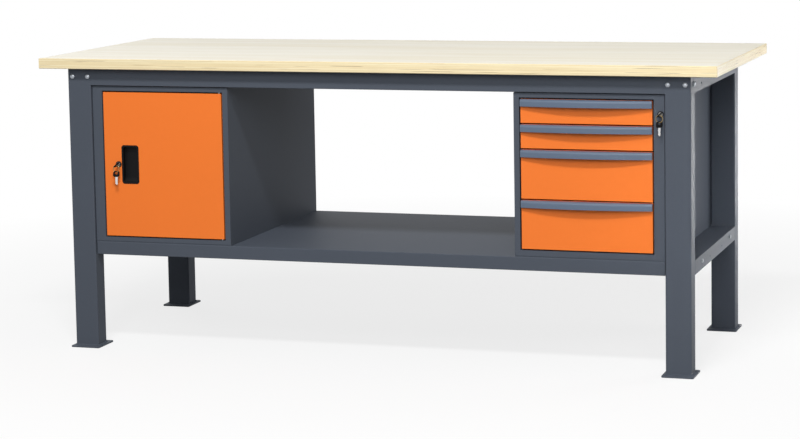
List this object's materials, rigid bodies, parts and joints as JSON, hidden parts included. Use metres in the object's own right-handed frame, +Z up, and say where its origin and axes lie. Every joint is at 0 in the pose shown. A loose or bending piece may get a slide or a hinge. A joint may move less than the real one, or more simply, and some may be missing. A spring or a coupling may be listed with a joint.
{
  "type": "workbench with drawers",
  "caption": "Steel-framed workbench with a plywood top, a tray shelf, a lockable cupboard on the left and a cabinet of drawers on the right.",
  "frame": {"origin": "on the floor, under the middle of the worktop", "axes": "+X to the right along the bench, +Y from the front to the back, +Z up"},
  "size_m": [2, 0.8, 0.855],
  "materials": {
    "plywood": "satin",
    "grey_paint": "satin",
    "orange_paint": "satin",
    "zinc_plated_steel": "satin",
    "lock_nickel": "polished",
    "key_steel": "satin",
    "ring_brass": "polished",
    "black_plastic": "matte",
    "blue_grey_plastic": "satin"
  },
  "bodies": {
    "bench": {"worktop": "plywood", "worktop_screws": "zinc_plated_steel", "front_legs": "grey_paint", "rear_legs": "grey_paint", "foot_plates": "grey_paint", "front_top_rail": "grey_paint", "rear_top_rail": "grey_paint", "side_top_rails": "grey_paint", "side_lower_rails": "grey_paint", "lower_shelf": "grey_paint", "shelf_stiffeners": "grey_paint", "shelf_screws": "zinc_plated_steel", "frame_bolts": "zinc_plated_steel", "frame_nuts": "zinc_plated_steel", "cabinet_screws": "zinc_plated_steel", "cupboard_side_walls": "grey_paint", "cupboard_floor_and_roof": "grey_paint", "cupboard_back": "grey_paint", "cupboard_front_frame": "grey_paint", "cupboard_shelf": "grey_paint", "cupboard_shelf_clips": "zinc_plated_steel", "door_pivots": "zinc_plated_steel", "drawer_cabinet_side_walls": "grey_paint", "drawer_cabinet_floor_and_roof": "grey_paint", "drawer_cabinet_back": "grey_paint", "drawer_cabinet_front_frame": "grey_paint", "runner_posts": "zinc_plated_steel", "cabinet_runners": "zinc_plated_steel", "locking_bar_guides": "zinc_plated_steel", "drawer_lock_housing": "lock_nickel"},
    "door": {"door_panel": "orange_paint", "door_bushes": "black_plastic", "door_grip": "black_plastic", "door_lock_housing": "lock_nickel"},
    "door_lock": {"door_lock_plug": "lock_nickel", "door_lock_cam": "key_steel", "door_key": "key_steel"},
    "door_ring": {"door_key_ring": "ring_brass"},
    "door_spare": {"door_spare_key": "key_steel"},
    "drawer_lock": {"drawer_lock_plug": "lock_nickel", "drawer_key": "key_steel"},
    "drawer_ring": {"drawer_key_ring": "ring_brass"},
    "drawer_spare": {"drawer_spare_key": "key_steel"},
    "locking_bar": {"locking_bar": "zinc_plated_steel"},
    "drawer_1": {"drawer_1_front": "orange_paint", "drawer_1_handle": "blue_grey_plastic", "drawer_1_box": "grey_paint"},
    "middle_runners_1": {"drawer_1_middle_runners": "zinc_plated_steel"},
    "drawer_2": {"drawer_2_front": "orange_paint", "drawer_2_handle": "blue_grey_plastic", "drawer_2_box": "grey_paint"},
    "middle_runners_2": {"drawer_2_middle_runners": "zinc_plated_steel"},
    "drawer_3": {"drawer_3_front": "orange_paint", "drawer_3_handle": "blue_grey_plastic", "drawer_3_box": "grey_paint"},
    "middle_runners_3": {"drawer_3_middle_runners": "zinc_plated_steel"},
    "drawer_4": {"drawer_4_front": "orange_paint", "drawer_4_handle": "blue_grey_plastic", "drawer_4_box": "grey_paint"},
    "middle_runners_4": {"drawer_4_middle_runners": "zinc_plated_steel"}
  },
  "joints": [
    {"name": "door_hinge", "type": "hinge", "parent": "bench", "child": "door", "pos_m": [-0.452, -0.358, 0.334], "axis": [0, 0, 1], "range_deg": [0, 110]},
    {"name": "door_lock_turn", "type": "hinge", "parent": "door", "child": "door_lock", "pos_m": [-0.771, -0.363, 0.54475], "axis": [0, -1, 0], "range_deg": [0, 90]},
    {"name": "door_ring_hang", "type": "hinge", "parent": "door_lock", "child": "door_ring", "pos_m": [-0.771, -0.382, 0.54475], "axis": [0, -1, 0], "range_deg": [-90, 0]},
    {"name": "door_spare_key_swing", "type": "hinge", "parent": "door_ring", "child": "door_spare", "pos_m": [-0.771, -0.382, 0.52135], "axis": [0.6428, -0.766, 0], "range_deg": [-30, 30]},
    {"name": "drawer_lock_turn", "type": "hinge", "parent": "bench", "child": "drawer_lock", "pos_m": [0.83824, -0.363, 0.72], "axis": [0, -1, 0], "range_deg": [0, 90]},
    {"name": "locking_bar_drop", "type": "slide", "parent": "bench", "child": "locking_bar", "axis": [0, 0, -1], "range_m": [0, 0.00848]},
    {"name": "drawer_ring_hang", "type": "hinge", "parent": "drawer_lock", "child": "drawer_ring", "pos_m": [0.83824, -0.382, 0.72], "axis": [0, -1, 0], "range_deg": [-90, 0]},
    {"name": "drawer_spare_key_swing", "type": "hinge", "parent": "drawer_ring", "child": "drawer_spare", "pos_m": [0.83824, -0.382, 0.6966], "axis": [0.6428, -0.766, 0], "range_deg": [-30, 20]},
    {"name": "drawer_1_slide", "type": "slide", "parent": "bench", "child": "drawer_1", "axis": [0, -1, 0], "range_m": [0, 0.5738]},
    {"name": "middle_runners_1_slide", "type": "slide", "parent": "bench", "child": "middle_runners_1", "axis": [0, -1, 0], "range_m": [0, 0.287]},
    {"name": "drawer_2_slide", "type": "slide", "parent": "bench", "child": "drawer_2", "axis": [0, -1, 0], "range_m": [0, 0.5738]},
    {"name": "middle_runners_2_slide", "type": "slide", "parent": "bench", "child": "middle_runners_2", "axis": [0, -1, 0], "range_m": [0, 0.287]},
    {"name": "drawer_3_slide", "type": "slide", "parent": "bench", "child": "drawer_3", "axis": [0, -1, 0], "range_m": [0, 0.5738]},
    {"name": "middle_runners_3_slide", "type": "slide", "parent": "bench", "child": "middle_runners_3", "axis": [0, -1, 0], "range_m": [0, 0.287]},
    {"name": "drawer_4_slide", "type": "slide", "parent": "bench", "child": "drawer_4", "axis": [0, -1, 0], "range_m": [0, 0.5738]},
    {"name": "middle_runners_4_slide", "type": "slide", "parent": "bench", "child": "middle_runners_4", "axis": [0, -1, 0], "range_m": [0, 0.287]}
  ],
  "couplings": [
    {"joint": "door_ring_hang", "follows": "door_lock_turn", "ratio": -1},
    {"joint": "drawer_lock_turn", "follows": "locking_bar_drop", "rad_per_m": 185.12},
    {"joint": "drawer_ring_hang", "follows": "locking_bar_drop", "rad_per_m": -185.12},
    {"joint": "middle_runners_1_slide", "follows": "drawer_1_slide", "ratio": 0.5},
    {"joint": "middle_runners_2_slide", "follows": "drawer_2_slide", "ratio": 0.5},
    {"joint": "middle_runners_3_slide", "follows": "drawer_3_slide", "ratio": 0.5},
    {"joint": "middle_runners_4_slide", "follows": "drawer_4_slide", "ratio": 0.5}
  ]
}
